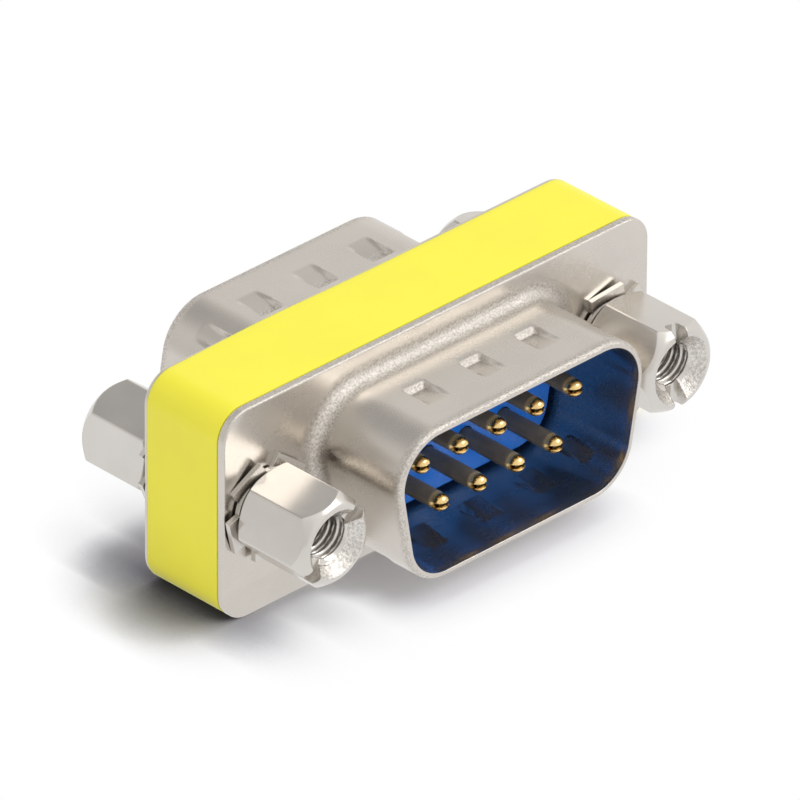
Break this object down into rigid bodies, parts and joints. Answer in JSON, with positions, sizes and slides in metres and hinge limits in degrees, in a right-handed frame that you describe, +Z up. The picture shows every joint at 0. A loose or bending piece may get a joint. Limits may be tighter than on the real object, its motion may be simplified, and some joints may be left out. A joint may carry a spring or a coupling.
{
  "type": "d-sub gender changer",
  "caption": "Slim nine-way D-sub plug-to-plug adapter: two drawn shells back to back, yellow-wrapped body, bent contacts, threaded hex jacks on toothed washers.",
  "frame": {"origin": "centre of the body on the surface it stands on, under the flanges' long edges", "axes": "+X along the flanges, front plug towards -Y with its wide side up, rear plug towards +Y turned over, +Z up"},
  "size_m": [0.031, 0.0186, 0.0125],
  "materials": {
    "nickel_shell": "satin nickel plate",
    "jack_nickel": "turned, nickel plated",
    "washer_nickel": "stamped, nickel plated",
    "blue_plastic": "moulded",
    "gold_contact": "gold flashed",
    "yellow_vinyl": "satin"
  },
  "bodies": {
    "root": {"contact_1": "gold_contact", "contact_2": "gold_contact", "contact_3": "gold_contact", "contact_4": "gold_contact", "contact_5": "gold_contact", "contact_6": "gold_contact", "contact_7": "gold_contact", "contact_8": "gold_contact", "contact_9": "gold_contact", "front_insulator": "blue_plastic", "front_left_jack_screw": "jack_nickel", "front_left_lock_washer": "washer_nickel", "front_right_jack_screw": "jack_nickel", "front_right_lock_washer": "washer_nickel", "front_shell": "nickel_shell", "rear_insulator": "blue_plastic", "rear_left_jack_nut": "jack_nickel", "rear_left_lock_washer": "washer_nickel", "rear_right_jack_nut": "jack_nickel", "rear_right_lock_washer": "washer_nickel", "rear_shell": "nickel_shell", "yellow_wrap": "yellow_vinyl"}
  },
  "joints": []
}
